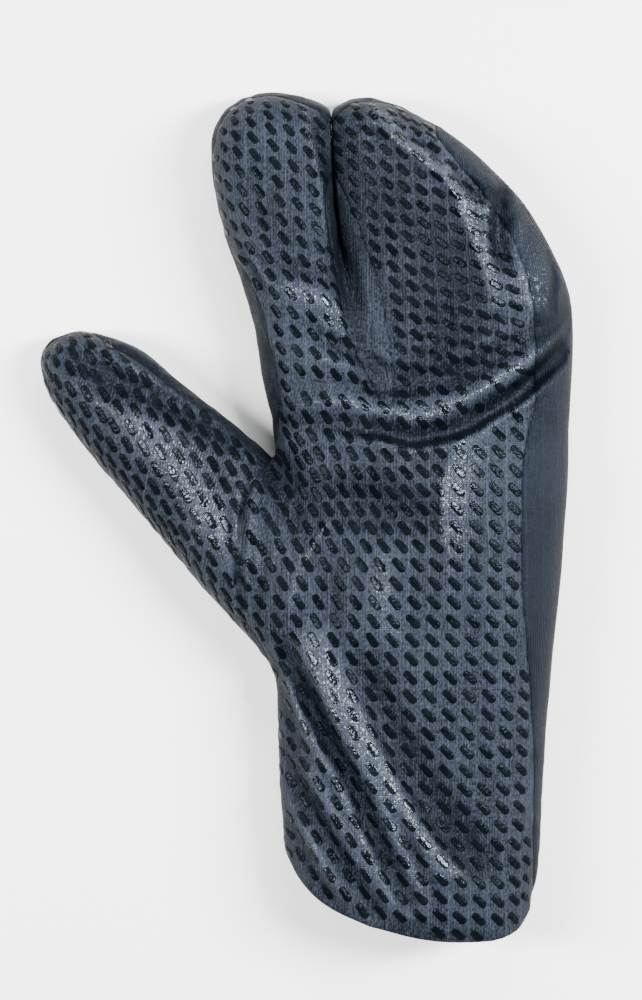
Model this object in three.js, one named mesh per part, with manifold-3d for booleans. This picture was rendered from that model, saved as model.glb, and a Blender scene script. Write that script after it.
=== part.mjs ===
import * as THREE from "three";
import { mergeVertices } from "three/addons/utils/BufferGeometryUtils.js";
import Module from "manifold-3d";

// Left-hand lobster overmitt: a stretch-fabric shell mitt with two fingers to a lobe, lying palm up.
// Millimetres, +Z up. Fingers point along +Y, the thumb towards -X, and the back lies on z = 0.
// The limbs are lofts. All of them together, less the same limbs one wall smaller, are the fabric,
// which is then cut into its sewn panels.

const MITT_LENGTH = 290; // cuff rim to fingertips
const PALM_WIDTH = 105; // across the knuckles
const PALM_DEPTH = 40; // filled palm, from the ground to its crown
const LOBE_DEPTH = 34; // filled finger lobes
const THUMB_LENGTH = 139; // from its root inside the palm to its tip
const THUMB_WIDTH = 46; // across the ball of the thumb
const THUMB_DEPTH = 34;
const THUMB_ANGLE = 45; // degrees from the fingers towards -X
const WALL = 1.4; // stretch fabric with its brushed inner face
const SLOT = 1.6; // air between the two lobes where they lie against each other
const CUFF_SLANT = 2.4; // how far the cuff rim drops from its middle to its little-finger side
const CUFF_BOW = 5.6; // how far the middle of the rim stands out past its sides
const SEAM_HEIGHT = 13; // side seams above the ground
const SEAM_GAP = 0.3; // between two sewn panels
const BODY_STEP = 8; // longest stretch of the body between two rings
const LIMB_STEP = 10.5; // the same for a lobe or the thumb
const BODY_SIDES = { top: 19, under: 7 };
const LOBE_SIDES = { top: 12, under: 5 };
const THUMB_SIDES = { top: 11, under: 5 };

// The widest level of a section, as a share of its depth, and how square the section is above and below it.
const MIDDLE = 0.4;
const FOLD_STARTS = 0.1; // share of the rise above that level where creases begin to show
const FOLD_SHOWS = 0.6; // and where they show in full
const CUFF_ENDS = 0.15; // share of the length up to which the cuff's slant and bow are felt
const OUTLINE_STEPS = 40; // in half of a section, before it is divided evenly
const TOP_POWER = 2.3;
const UNDER_POWER = 3;
const CRUMB = 0.5; // cubic millimetres
const UNDER_FULLNESS = 1.25; // over 1, so that the ground flattens the underside

// Sections of each limb. at: place along it. left, right: its sides, as shares of its width.
// crown: height of its top as a share of its depth. full: 1 where it is fully round, less towards an end.
const BODY = [
  { at: 0.024, left: 0.118, right: 0.683, crown: 0.9, full: 0.72 },
  { at: 0.031, left: 0.069, right: 0.708, crown: 0.9, full: 0.83 },
  { at: 0.043, left: 0.016, right: 0.729, crown: 0.9, full: 0.91 },
  { at: 0.06, left: -0.029, right: 0.742, crown: 0.9, full: 0.97 },
  { at: 0.089, left: -0.062, right: 0.755, crown: 0.9, full: 1 },
  { at: 0.136, left: -0.078, right: 0.765, crown: 0.9, full: 1 },
  { at: 0.195, left: -0.085, right: 0.775, crown: 0.9, full: 1 },
  { at: 0.278, left: -0.095, right: 0.794, crown: 0.92, full: 1 },
  { at: 0.385, left: -0.108, right: 0.82, crown: 0.97, full: 1 },
  { at: 0.479, left: -0.1, right: 0.843, crown: 1, full: 1 },
  { at: 0.569, left: -0.098, right: 0.855, crown: 1, full: 1 },
  { at: 0.633, left: -0.13, right: 0.864, crown: 0.94, full: 1 },
  { at: 0.67, left: -0.11, right: 0.845, crown: 0.82, full: 0.88 },
  { at: 0.705, left: -0.05, right: 0.78, crown: 0.66, full: 0.6 },
];
const FORE_LOBE = [
  { at: 0.598, left: -0.1, right: 0.268, crown: 0.86, full: 0.97 },
  { at: 0.651, left: -0.137, right: 0.268, crown: 0.95, full: 1 },
  { at: 0.722, left: -0.167, right: 0.183, crown: 1, full: 1 },
  { at: 0.775, left: -0.212, right: 0.15, crown: 1, full: 1 },
  { at: 0.828, left: -0.265, right: 0.124, crown: 0.97, full: 1 },
  { at: 0.882, left: -0.304, right: 0.111, crown: 0.95, full: 1 },
  { at: 0.917, left: -0.317, right: 0.108, crown: 0.93, full: 0.99 },
  { at: 0.935, left: -0.314, right: 0.105, crown: 0.92, full: 0.95 },
  { at: 0.955, left: -0.304, right: 0.098, crown: 0.9, full: 0.87 },
  { at: 0.969, left: -0.284, right: 0.082, crown: 0.88, full: 0.77 },
  { at: 0.979, left: -0.268, right: 0.059, crown: 0.86, full: 0.66 },
  { at: 0.988, left: -0.235, right: 0.023, crown: 0.84, full: 0.52 },
  { at: 0.994, left: -0.204, right: -0.012, crown: 0.82, full: 0.38 },
  { at: 1, left: -0.144, right: -0.085, crown: 0.8, full: 0.2 },
];
const REAR_LOBE = [
  { at: 0.598, left: 0.25, right: 0.856, crown: 0.86, full: 0.97 },
  { at: 0.651, left: 0.242, right: 0.866, crown: 0.97, full: 1 },
  { at: 0.704, left: 0.163, right: 0.873, crown: 1, full: 1 },
  { at: 0.74, left: 0.131, right: 0.866, crown: 1, full: 1 },
  { at: 0.775, left: 0.114, right: 0.843, crown: 1, full: 1 },
  { at: 0.811, left: 0.088, right: 0.804, crown: 0.99, full: 1 },
  { at: 0.846, left: 0.075, right: 0.749, crown: 0.98, full: 1 },
  { at: 0.882, left: 0.069, right: 0.677, crown: 0.96, full: 1 },
  { at: 0.917, left: 0.065, right: 0.579, crown: 0.94, full: 0.97 },
  { at: 0.935, left: 0.065, right: 0.52, crown: 0.92, full: 0.93 },
  { at: 0.955, left: 0.069, right: 0.448, crown: 0.9, full: 0.85 },
  { at: 0.974, left: 0.088, right: 0.363, crown: 0.86, full: 0.66 },
  { at: 0.986, left: 0.128, right: 0.288, crown: 0.82, full: 0.43 },
  { at: 0.993, left: 0.167, right: 0.229, crown: 0.8, full: 0.2 },
];
const THUMB = [
  { at: 0, left: -0.645, right: 0.35, crown: 0.88, full: 0.6 },
  { at: 0.048, left: -0.59, right: 0.42, crown: 0.97, full: 0.9 },
  { at: 0.105, left: -0.567, right: 0.47, crown: 1, full: 1 },
  { at: 0.279, left: -0.533, right: 0.505, crown: 1, full: 1 },
  { at: 0.455, left: -0.491, right: 0.507, crown: 0.93, full: 1 },
  { at: 0.56, left: -0.47, right: 0.485, crown: 0.89, full: 1 },
  { at: 0.7, left: -0.443, right: 0.433, crown: 0.84, full: 1 },
  { at: 0.805, left: -0.396, right: 0.404, crown: 0.8, full: 1 },
  { at: 0.873, left: -0.359, right: 0.348, crown: 0.77, full: 0.97 },
  { at: 0.914, left: -0.322, right: 0.287, crown: 0.75, full: 0.9 },
  { at: 0.954, left: -0.261, right: 0.211, crown: 0.72, full: 0.73 },
  { at: 0.98, left: -0.207, right: 0.126, crown: 0.7, full: 0.5 },
  { at: 1, left: -0.12, right: -0.01, crown: 0.68, full: 0.22 },
];
const THUMB_ROOT = { across: 0.106, up: 0.371 }; // shares of PALM_WIDTH and MITT_LENGTH

// Creases and puffs of the palm side, each along a bowed line from one place to another, as shares of
// PALM_WIDTH and MITT_LENGTH. bow: how far the line bends left of its way. reach: half its breadth and
// sink: its depth, below 0 for a ridge, both as shares of PALM_DEPTH.
const FOLDS = [
  { fromX: -0.06, fromY: 0.603, toX: 0.45, toY: 0.588, bow: -0.02, reach: 0.24, sink: 0.14 },
  { fromX: 0.4, fromY: 0.587, toX: 0.83, toY: 0.685, bow: -0.08, reach: 0.23, sink: 0.13 },
  { fromX: -0.095, fromY: 0.653, toX: 0.405, toY: 0.656, bow: 0, reach: 0.19, sink: 0.07 },
  { fromX: 0.405, fromY: 0.656, toX: 0.83, toY: 0.725, bow: -0.05, reach: 0.2, sink: 0.08 },
  { fromX: 0.04, fromY: 0.63, toX: 0.55, toY: 0.632, bow: -0.02, reach: 0.17, sink: -0.03 },
  { fromX: 0.48, fromY: 0.56, toX: 0.47, toY: 0.49, bow: 0, reach: 0.22, sink: -0.05 },
  { fromX: 0.06, fromY: 0.505, toX: 0.43, toY: 0.491, bow: -0.02, reach: 0.27, sink: 0.06 },
  { fromX: 0.701, fromY: 0.6, toX: 0.692, toY: 0.34, bow: 0.01, reach: 0.12, sink: -0.035 },
  { fromX: 0.76, fromY: 0.6, toX: 0.752, toY: 0.34, bow: 0.01, reach: 0.16, sink: 0.04 },
  { fromX: -0.02, fromY: 0.31, toX: 0.31, toY: 0.055, bow: 0.03, reach: 0.24, sink: 0.085 },
  { fromX: 0.2, fromY: 0.305, toX: 0.5, toY: 0.09, bow: 0.04, reach: 0.32, sink: 0.12 },
  { fromX: 0.28, fromY: 0.87, toX: 0.34, toY: 0.74, bow: 0, reach: 0.5, sink: 0.1 },
  { fromX: 0.24, fromY: 0.95, toX: 0.58, toY: 0.767, bow: 0.07, reach: 0.2, sink: -0.04 },
  { fromX: 0.64, fromY: 0.87, toX: 0.65, toY: 0.79, bow: 0, reach: 0.2, sink: 0.05 },
  { fromX: 0.01, fromY: 0.745, toX: 0.25, toY: 0.69, bow: 0, reach: 0.25, sink: -0.05 },
  { fromX: -0.68, fromY: 0.67, toX: -0.26, toY: 0.592, bow: 0.02, reach: 0.2, sink: 0.08 },
];

// Where the two lobes part, from the fork to beyond the tips. across: middle of the slot.
const PARTING = [
  { at: 0.651, across: 0.258 },
  { at: 0.678, across: 0.212 },
  { at: 0.71, across: 0.167 },
  { at: 0.751, across: 0.144 },
  { at: 0.811, across: 0.111 },
  { at: 0.894, across: 0.088 },
  { at: 0.97, across: 0.082 },
  { at: 1.02, across: 0.084 },
];

// Edges of the panels seen from above, from the cuff up. Beyond the fabric they may run anywhere.
const PALM_EDGES = [
  { at: -0.03, left: -0.3, right: 0.735 },
  { at: 0.1, left: -0.3, right: 0.735 },
  { at: 0.183, left: -0.3, right: 0.735 },
  { at: 0.278, left: -0.3, right: 0.728 },
  { at: 0.349, left: -0.3, right: 0.708 },
  { at: 0.444, left: -0.34, right: 0.69 },
  { at: 0.53, left: -0.3, right: 0.69 },
  { at: 0.575, left: -0.1, right: 0.7 },
  { at: 0.633, left: -0.088, right: 0.736 },
  { at: 0.704, left: -0.118, right: 0.736 },
  { at: 0.74, left: -0.144, right: 0.729 },
  { at: 0.769, left: -0.177, right: 0.713 },
  { at: 0.796, left: -0.222, right: 0.69 },
  { at: 0.828, left: -0.33, right: 0.65 },
  { at: 0.87, left: -0.379, right: 0.579 },
  { at: 0.911, left: -0.379, right: 0.471 },
  { at: 0.947, left: -0.363, right: 0.356 },
  { at: 0.975, left: -0.346, right: 0.25 },
];
const GUSSET_EDGES = [
  { at: 0.639, left: 0.225, right: 0.292 },
  { at: 0.669, left: 0.19, right: 0.28 },
  { at: 0.704, left: 0.144, right: 0.265 },
  { at: 0.74, left: 0.122, right: 0.25 },
  { at: 0.775, left: 0.104, right: 0.23 },
  { at: 0.811, left: 0.086, right: 0.195 },
  { at: 0.846, left: 0.07, right: 0.155 },
  { at: 0.882, left: 0.062, right: 0.12 },
];
const GUSSET_HEIGHT = 5; // lower edge of the gusset above the ground
// The thumb's seam round its root, from the wrist up to the crotch, and on past it through the air.
const THUMB_EDGES = [
  { at: 0.3, left: -1.1, right: -0.12 },
  { at: 0.316, left: -1.1, right: -0.118 },
  { at: 0.349, left: -1.1, right: -0.15 },
  { at: 0.379, left: -1.1, right: -0.199 },
  { at: 0.432, left: -1.1, right: -0.228 },
  { at: 0.467, left: -1.1, right: -0.222 },
  { at: 0.503, left: -1.1, right: -0.206 },
  { at: 0.527, left: -1.1, right: -0.183 },
  { at: 0.55, left: -1.1, right: -0.144 },
  { at: 0.564, left: -1.1, right: -0.115 },
  { at: 0.59, left: -1.1, right: -0.14 },
  { at: 0.66, left: -1.1, right: -0.19 },
  { at: 0.78, left: -1.1, right: -0.35 },
];
// The printed front of the thumb, along the thumb as its own table above is.
const THUMB_FRONT_EDGES = [
  { at: 0.1, left: -0.8, right: 0.47 },
  { at: 0.5, left: -0.8, right: 0.45 },
  { at: 0.7, left: -0.8, right: 0.36 },
  { at: 0.85, left: -0.7, right: 0.28 },
  { at: 0.93, left: -0.6, right: 0.18 },
  { at: 0.965, left: -0.55, right: 0.06 },
];

const MATERIALS = {
  print: { color: 0x39424f, roughness: 0.6, metalness: 0 },
  plain: { color: 0x434d5b, roughness: 0.75, metalness: 0 },
};

const wasm = await Module();
wasm.setup();

// One column of a table at any place along it, on a smooth curve that stays between its rows.
function column(rows, name, at) {
  const last = rows.length - 1;
  const slope = (k) => (rows[k + 1][name] - rows[k][name]) / (rows[k + 1].at - rows[k].at);
  const tangent = (k) => {
    if (k === 0) return slope(0);
    if (k === last) return slope(last - 1);
    const before = slope(k - 1);
    const after = slope(k);
    return before * after > 0 ? (2 * before * after) / (before + after) : 0;
  };
  const above = rows.findIndex((row) => row.at >= at);
  const i = Math.max(0, (above < 0 ? last : above) - 1);
  const span = rows[i + 1].at - rows[i].at;
  const t = (at - rows[i].at) / span;
  const rest = 1 - t;
  const ends = rows[i][name] * rest * rest * (1 + 2 * t) + rows[i + 1][name] * t * t * (3 - 2 * t);
  return ends + span * t * rest * (rest * tangent(i) - t * tangent(i + 1));
}

// Places along a table: its own rows, and as many between them as keep the steps short.
function stations(rows, step) {
  const places = [rows[0].at];
  for (let i = 1; i < rows.length; i++) {
    const start = rows[i - 1].at;
    const span = rows[i].at - start;
    const parts = Math.max(1, Math.ceil(span / step - 0.01));
    for (let k = 1; k <= parts; k++) places.push(start + (span * k) / parts);
  }
  return places;
}

// The same line as count steps of equal length.
function evenly(line, count) {
  const lengths = [0];
  for (let i = 1; i < line.length; i++) lengths.push(lengths[i - 1] + line[i].distanceTo(line[i - 1]));
  const total = lengths[line.length - 1];
  const points = [];
  for (let k = 0, i = 1; k <= count; k++) {
    const target = (total * k) / count;
    while (i < line.length - 1 && lengths[i] < target) i++;
    const share = (target - lengths[i - 1]) / (lengths[i] - lengths[i - 1]);
    points.push(line[i - 1].clone().lerp(line[i], share));
  }
  return points;
}

const power = (value, exponent) => Math.sign(value) * Math.abs(value) ** exponent;
const smooth = THREE.MathUtils.smoothstep;

// How far the creases and puffs lower the palm side at a place seen from above.
function foldSink(x, y) {
  let deepest = 0;
  let highest = 0;
  for (const fold of FOLDS) {
    const from = new THREE.Vector2(fold.fromX * PALM_WIDTH, fold.fromY * MITT_LENGTH);
    const way = new THREE.Vector2(fold.toX * PALM_WIDTH, fold.toY * MITT_LENGTH).sub(from);
    const length = way.length();
    const here = new THREE.Vector2(x, y).sub(from);
    const along = here.dot(way) / length / length;
    const onLine = THREE.MathUtils.clamp(along, 0, 1);
    const bend = fold.bow * PALM_WIDTH * 4 * onLine * (1 - onLine);
    const aside = (way.x * here.y - way.y * here.x) / length - bend;
    const beyond = (along - onLine) * length;
    const away = Math.hypot(aside, beyond) / (fold.reach * PALM_DEPTH);
    if (away > 1) continue;
    const sink = fold.sink * PALM_DEPTH * Math.cos((Math.PI / 2) * away) ** 2;
    deepest = Math.max(deepest, sink);
    highest = Math.min(highest, sink);
  }
  return deepest + highest;
}

// One ring of a limb: its top from right to left, then its underside back again. z holds the height
// and fold how much of a crease it takes.
function ring(limb, at, inset) {
  const value = (name) => column(limb.rows, name, at);
  const nudge = 1e-4;
  const half = (place) => {
    const right = column(limb.rows, "right", place);
    return ((right - column(limb.rows, "left", place)) / 2) * limb.width;
  };
  const spread = Math.abs(half(at) - half(at - nudge)) / (nudge * limb.length);
  const skin = inset * Math.hypot(1, Math.min(spread, 2));
  const centre = ((value("left") + value("right")) / 2) * limb.width;
  const reach = half(at) - skin;
  const crown = value("crown") * limb.depth;
  const level = MIDDLE * crown;
  const rise = (crown - level) * value("full") - skin;
  const drop = level * value("full") * UNDER_FULLNESS - skin;
  if (reach < inset || rise < inset || drop < inset) return null;
  const top = [];
  const under = [];
  for (let i = 0; i <= OUTLINE_STEPS; i++) {
    const angle = (Math.PI * i) / OUTLINE_STEPS;
    const across = centre + reach * power(Math.cos(angle), 2 / TOP_POWER);
    top.push(new THREE.Vector2(across, level + rise * Math.sin(angle) ** (2 / TOP_POWER)));
    const below = level - drop * Math.sin(angle) ** (2 / UNDER_POWER);
    const back = centre - reach * power(Math.cos(angle), 2 / UNDER_POWER);
    under.push(new THREE.Vector2(back, Math.max(below, inset)));
  }
  const upper = evenly(top, limb.sides.top).slice(0, -1);
  const lower = evenly(under, limb.sides.under).slice(0, -1);
  const points = [...upper, ...lower];
  return points.map((point) => {
    const share = (point.x - centre) / reach;
    const cuff = limb.cuff ? 1 - smooth(at, limb.rows[0].at, CUFF_ENDS) : 0;
    const along = at * limb.length - cuff * (CUFF_SLANT * share + CUFF_BOW * (1 - share * share));
    const fold = smooth((point.y - level) / rise, FOLD_STARTS, FOLD_SHOWS);
    return { across: point.x, along, z: point.y, fold };
  });
}

// A closed solid from a limb's rings, inset by a wall's thickness or by 0 for its outside.
function limbSolid(limb, inset) {
  const rings = stations(limb.rows, limb.step / limb.length)
    .map((at) => ring(limb, at, inset))
    .filter((points) => points);
  if (inset && limb.cuff) {
    const past = 4 * WALL + CUFF_BOW;
    rings.unshift(rings[0].map((point) => ({ ...point, along: point.along - past })));
  }
  const count = rings[0].length;
  const turn = THREE.MathUtils.degToRad(limb.angle);
  const positions = [];
  const place = (point) => {
    const x = limb.rootX + point.across * Math.cos(turn) - point.along * Math.sin(turn);
    const y = limb.rootY + point.across * Math.sin(turn) + point.along * Math.cos(turn);
    positions.push(x, y, point.z - point.fold * foldSink(x, y));
  };
  rings.forEach((points) => points.forEach(place));
  for (const end of [rings[0], rings[rings.length - 1]]) {
    const middle = { across: 0, along: 0, z: 0, fold: 0 };
    for (const key in middle) middle[key] = end.reduce((sum, point) => sum + point[key] / count, 0);
    place(middle);
  }
  const faces = [];
  for (let r = 0; r < rings.length - 1; r++) {
    for (let k = 0; k < count; k++) {
      const a = r * count + k;
      const b = r * count + ((k + 1) % count);
      faces.push(a, b + count, b, a, a + count, b + count);
    }
  }
  const first = rings.length * count;
  const lastRing = first - count;
  for (let k = 0; k < count; k++) {
    const next = (k + 1) % count;
    faces.push(first, k, next, first + 1, lastRing + next, lastRing + k);
  }
  return new wasm.Manifold(
    new wasm.Mesh({
      numProp: 3,
      vertProperties: new Float32Array(positions),
      triVerts: new Uint32Array(faces),
    }),
  );
}

// A closed outline seen from above, moved outwards by a margin, as an upright solid between two heights.
function upright(outline, margin, low, high) {
  const moved = outline.map((point, i) => {
    const before = outline[(i + outline.length - 1) % outline.length];
    const after = outline[(i + 1) % outline.length];
    const way = after.clone().sub(before).normalize();
    return new THREE.Vector2(point.x + way.y * margin, point.y - way.x * margin);
  });
  const shape = new THREE.Shape(moved);
  const geometry = new THREE.ExtrudeGeometry(shape, { depth: high - low, bevelEnabled: false });
  geometry.translate(0, 0, low);
  geometry.deleteAttribute("normal");
  geometry.deleteAttribute("uv");
  const merged = mergeVertices(geometry, 1e-4);
  return new wasm.Manifold(
    new wasm.Mesh({
      numProp: 3,
      vertProperties: merged.attributes.position.array,
      triVerts: new Uint32Array(merged.index.array),
    }),
  );
}

// A panel's outline, anticlockwise: up its right edge and down its left one.
function outlineOf(edges, width, length, placed = (x, y) => new THREE.Vector2(x, y)) {
  const places = stations(edges, (2 * LIMB_STEP) / length);
  const side = (name) => places.map((at) => placed(column(edges, name, at) * width, at * length));
  return [...side("right"), ...side("left").reverse()];
}

const body = {
  rows: BODY,
  width: PALM_WIDTH,
  length: MITT_LENGTH,
  depth: PALM_DEPTH,
  sides: BODY_SIDES,
  step: BODY_STEP,
  rootX: 0,
  rootY: 0,
  angle: 0,
  cuff: true,
};
const foreLobe = {
  ...body,
  rows: FORE_LOBE,
  depth: LOBE_DEPTH,
  sides: LOBE_SIDES,
  step: LIMB_STEP,
  cuff: false,
};
const rearLobe = { ...foreLobe, rows: REAR_LOBE };
const thumb = {
  ...foreLobe,
  rows: THUMB,
  width: THUMB_WIDTH,
  length: THUMB_LENGTH,
  depth: THUMB_DEPTH,
  sides: THUMB_SIDES,
  rootX: THUMB_ROOT.across * PALM_WIDTH,
  rootY: THUMB_ROOT.up * MITT_LENGTH,
  angle: THUMB_ANGLE,
};

// The slot between the lobes, with a margin on both sides of it and at its foot.
function slotSolid(margin) {
  const places = stations(PARTING, LIMB_STEP / MITT_LENGTH);
  const spot = (at) => new THREE.Vector2(column(PARTING, "across", at) * PALM_WIDTH, at * MITT_LENGTH);
  const line = places.map(spot).reverse();
  const beside = (sign) =>
    line.map((point, i) => {
      const way = line[Math.min(i + 1, line.length - 1)].clone().sub(line[Math.max(i - 1, 0)]).normalize();
      const foot = i === line.length - 1 ? margin : 0;
      const off = (sign * SLOT) / 2 + sign * margin;
      return new THREE.Vector2(point.x - way.y * off + way.x * foot, point.y + way.x * off + way.y * foot);
    });
  return upright([...beside(-1), ...beside(1).reverse()], 0, -WALL, 2 * PALM_DEPTH);
}

const limbs = [body, foreLobe, rearLobe, thumb];
const union = (solids) => solids.reduce((sum, solid) => sum.add(solid));
const outside = union(limbs.map((limb) => limbSolid(limb, 0))).subtract(slotSolid(0));
const inside = union(limbs.map((limb) => limbSolid(limb, WALL))).subtract(slotSolid(WALL));
const fabric = outside.subtract(inside);

// A solid without the crumbs that a cut leaves where two faces graze each other.
const clean = (solid) => union(solid.decompose().filter((piece) => piece.volume() > CRUMB));

// Takes a panel out of a stretch of fabric, and gives the panel and what is left, with a seam's gap.
function cutOut(stretch, outline, low) {
  const high = 2 * PALM_DEPTH;
  const panel = stretch.intersect(upright(outline, 0, low, high));
  const rest = stretch.subtract(upright(outline, SEAM_GAP, low - SEAM_GAP, high));
  return [clean(panel), clean(rest)];
}

function alongThumb(x, y) {
  const turn = THREE.MathUtils.degToRad(THUMB_ANGLE);
  const turned = new THREE.Vector2(x, y).rotateAround(new THREE.Vector2(), turn);
  return turned.add(new THREE.Vector2(thumb.rootX, thumb.rootY));
}

const [wholeThumb, hand] = cutOut(fabric, outlineOf(THUMB_EDGES, PALM_WIDTH, MITT_LENGTH), -WALL);
const thumbFrontOutline = outlineOf(THUMB_FRONT_EDGES, THUMB_WIDTH, THUMB_LENGTH, alongThumb);
const [thumbFront, thumbBack] = cutOut(wholeThumb, thumbFrontOutline, SEAM_HEIGHT);
const [gusset, palmAndBack] = cutOut(hand, outlineOf(GUSSET_EDGES, PALM_WIDTH, MITT_LENGTH), GUSSET_HEIGHT);
const [palm, back] = cutOut(palmAndBack, outlineOf(PALM_EDGES, PALM_WIDTH, MITT_LENGTH), SEAM_HEIGHT);

function panelMesh(name, solid, material) {
  const mesh = solid.getMesh();
  const geometry = new THREE.BufferGeometry();
  geometry.setAttribute("position", new THREE.BufferAttribute(mesh.vertProperties, 3));
  geometry.setIndex(new THREE.BufferAttribute(mesh.triVerts, 1));
  geometry.computeVertexNormals();
  const made = new THREE.Mesh(geometry, new THREE.MeshStandardMaterial(material));
  made.name = name;
  return made;
}

const mitt = new THREE.Group();
mitt.add(
  panelMesh("palm_panel", palm, MATERIALS.print),
  panelMesh("back_panel", back, MATERIALS.plain),
  panelMesh("lobe_gusset", gusset, MATERIALS.plain),
  panelMesh("thumb_front_panel", thumbFront, MATERIALS.print),
  panelMesh("thumb_back_panel", thumbBack, MATERIALS.plain),
);
const middle = new THREE.Box3().setFromObject(mitt).getCenter(new THREE.Vector3());
mitt.position.set(-middle.x, -middle.y, 0);

export default mitt;
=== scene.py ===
import math

import bmesh
import bpy
import numpy as np
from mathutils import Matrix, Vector, noise
from mathutils.bvhtree import BVHTree


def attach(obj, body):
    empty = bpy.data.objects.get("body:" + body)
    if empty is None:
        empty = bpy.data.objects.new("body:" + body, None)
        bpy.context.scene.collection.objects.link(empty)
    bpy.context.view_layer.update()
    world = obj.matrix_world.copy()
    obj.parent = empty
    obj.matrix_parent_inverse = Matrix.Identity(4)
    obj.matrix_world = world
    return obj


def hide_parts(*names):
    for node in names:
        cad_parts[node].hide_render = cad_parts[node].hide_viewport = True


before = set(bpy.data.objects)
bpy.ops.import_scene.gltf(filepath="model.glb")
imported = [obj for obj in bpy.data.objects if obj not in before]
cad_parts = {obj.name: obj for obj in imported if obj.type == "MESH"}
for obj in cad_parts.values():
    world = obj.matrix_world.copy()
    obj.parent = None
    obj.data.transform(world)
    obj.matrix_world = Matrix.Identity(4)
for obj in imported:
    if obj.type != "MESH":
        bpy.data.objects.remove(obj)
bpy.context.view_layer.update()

# Left-hand lobster overmitt, lying palm up: a filled form is lofted limb by limb and fused, its creases
# are pressed in, and it is cut along its seams into sewn panels. Raised grip dashes follow the fabric.
# Metres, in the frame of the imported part: fingers along +Y, thumb towards -X, back on z = 0.

MM = 0.001

# Sizes of the mitt, and where the middle of its cuff lies in the frame
LENGTH = 290 * MM
WIDTH = 105 * MM
DEPTH = 40 * MM
LOBE_DEPTH = 34 * MM
THUMB_LENGTH = 139 * MM
THUMB_WIDTH = 46 * MM
THUMB_DEPTH = 34 * MM
THUMB_ANGLE = math.radians(45)
THUMB_ROOT = (0.106 * WIDTH, 0.371 * LENGTH)
CUFF_X = 0.13 * MM
CUFF_Y = -145.55 * MM
FABRIC = 1.1 * MM
SEAM_HEIGHT = 13 * MM  # down to which the print reaches on the walls
GUSSET_HEIGHT = 5 * MM  # down to which the gusset reaches in the slot
OPEN_SLOT = 4.6 * MM  # between the lobes while the form is fused
SHUT_SLOT = 0.9 * MM  # after the lobes are pressed together
FORK_SHUT = (0.73, 0.88)  # at: where the slot begins to close above the web, and where it is shut

# The photograph, in its pixels: the picture, the place of the frame's origin in it, and its scale
PICTURE_WIDTH, PICTURE_HEIGHT = 642, 1000
ORIGIN_ACROSS, ORIGIN_DOWN = 306.0, 512.0
PIXEL = 0.3432 * MM

# How square a section is above and below its widest level, and that level as a share of its crown
TOP_POWER = 2.25
UNDER_POWER = 3.0
UNDER_FULLNESS = 1.25
MIDDLE = 0.4

# Sections of the limbs: at as a share of the limb's length, left and right of its width, crown of its
# depth, and full, which is 1 for a full section and less where it thins out towards a tip
BODY = (
    (0.0, -0.02, 0.73, 0.86, 0.95), (0.03, -0.04, 0.738, 0.88, 1.0), (0.06, -0.052, 0.746, 0.9, 1.0),
    (0.089, -0.064, 0.755, 0.9, 1.0), (0.136, -0.078, 0.765, 0.9, 1.0), (0.195, -0.085, 0.775, 0.9, 1.0),
    (0.278, -0.095, 0.794, 0.92, 1.0), (0.385, -0.108, 0.82, 0.97, 1.0), (0.479, -0.1, 0.843, 1.0, 1.0),
    (0.53, -0.098, 0.852, 1.0, 1.0), (0.569, -0.098, 0.855, 0.97, 1.0), (0.6, -0.105, 0.855, 0.9, 1.0),
    (0.63, -0.115, 0.85, 0.81, 0.98), (0.66, -0.095, 0.82, 0.68, 0.9), (0.68, -0.06, 0.78, 0.52, 0.75),
)
FORE_LOBE = (
    (0.56, -0.08, 0.268, 0.9, 0.9), (0.598, -0.1, 0.268, 0.97, 0.97), (0.651, -0.137, 0.268, 1.0, 1.0),
    (0.722, -0.167, 0.183, 1.0, 1.0), (0.775, -0.212, 0.15, 1.0, 1.0), (0.828, -0.265, 0.124, 0.97, 1.0),
    (0.882, -0.304, 0.111, 0.95, 1.0), (0.917, -0.317, 0.108, 0.93, 0.99),
    (0.935, -0.314, 0.105, 0.92, 0.95), (0.955, -0.304, 0.098, 0.9, 0.87),
    (0.969, -0.284, 0.082, 0.88, 0.77), (0.979, -0.268, 0.059, 0.86, 0.66),
    (0.988, -0.235, 0.023, 0.84, 0.52), (0.994, -0.204, -0.012, 0.82, 0.38),
    (1.0, -0.144, -0.085, 0.8, 0.2),
)
REAR_LOBE = (
    (0.56, 0.25, 0.84, 0.9, 0.9), (0.598, 0.25, 0.856, 0.97, 0.97), (0.651, 0.242, 0.866, 1.0, 1.0),
    (0.704, 0.163, 0.873, 1.0, 1.0), (0.74, 0.131, 0.866, 1.0, 1.0), (0.775, 0.114, 0.843, 1.0, 1.0),
    (0.811, 0.088, 0.804, 0.99, 1.0), (0.846, 0.075, 0.749, 0.98, 1.0), (0.882, 0.069, 0.677, 0.96, 1.0),
    (0.917, 0.065, 0.579, 0.94, 0.97), (0.935, 0.065, 0.52, 0.92, 0.93), (0.955, 0.069, 0.448, 0.9, 0.85),
    (0.974, 0.088, 0.363, 0.86, 0.66), (0.986, 0.128, 0.288, 0.82, 0.43), (0.993, 0.167, 0.229, 0.8, 0.2),
)
# The web of fabric that fills the slot near its fork, with the same columns
WEB = (
    (0.598, 0.17, 0.4, 0.9, 0.8), (0.651, 0.14, 0.36, 0.92, 0.9), (0.704, 0.09, 0.27, 0.9, 0.9),
    (0.751, 0.07, 0.22, 0.84, 0.9), (0.8, 0.05, 0.18, 0.7, 0.85), (0.85, 0.04, 0.15, 0.46, 0.8),
    (0.89, 0.04, 0.13, 0.24, 0.8),
)
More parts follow.
